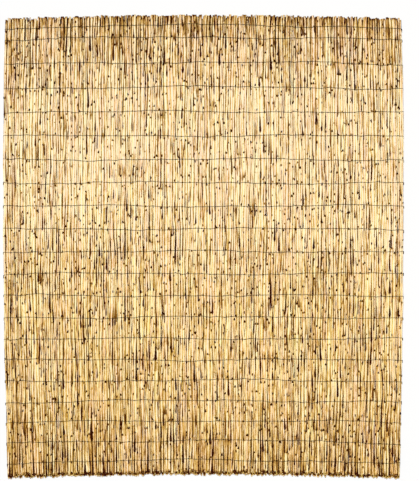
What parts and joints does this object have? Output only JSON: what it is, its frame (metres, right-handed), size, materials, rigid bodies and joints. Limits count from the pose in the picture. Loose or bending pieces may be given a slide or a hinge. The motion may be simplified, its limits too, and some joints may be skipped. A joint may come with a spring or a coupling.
{
  "type": "cane screening mat",
  "caption": "Flat screening mat of thin upright canes in two layers, bound at close spacing by rows of twisted wire.",
  "frame": {"origin": "under the middle of the mat, on the surface that its back wires rest on", "axes": "+Z out of the screen's front face, +Y along the canes towards the screen's upper edge, +X along the wires, to the right as seen from the front"},
  "size_m": [1.745, 2.016, 0.0173],
  "materials": {
    "cane_front": "dry straw-coloured cane skin, satin",
    "cane_back": "dry straw-coloured cane skin, satin",
    "wire": "weathered zinc-coated wire, dull"
  },
  "bodies": {
    "root": {"canes_front": "cane_front", "canes_back": "cane_back", "binding_wire_01": "wire", "binding_wire_02": "wire", "binding_wire_03": "wire", "binding_wire_04": "wire", "binding_wire_05": "wire", "binding_wire_06": "wire", "binding_wire_07": "wire", "binding_wire_08": "wire", "binding_wire_09": "wire", "binding_wire_10": "wire", "binding_wire_11": "wire", "binding_wire_12": "wire", "binding_wire_13": "wire", "binding_wire_14": "wire", "binding_wire_15": "wire", "binding_wire_16": "wire", "binding_wire_17": "wire", "binding_wire_18": "wire", "binding_wire_19": "wire", "binding_wire_20": "wire", "binding_wire_21": "wire"}
  },
  "joints": []
}
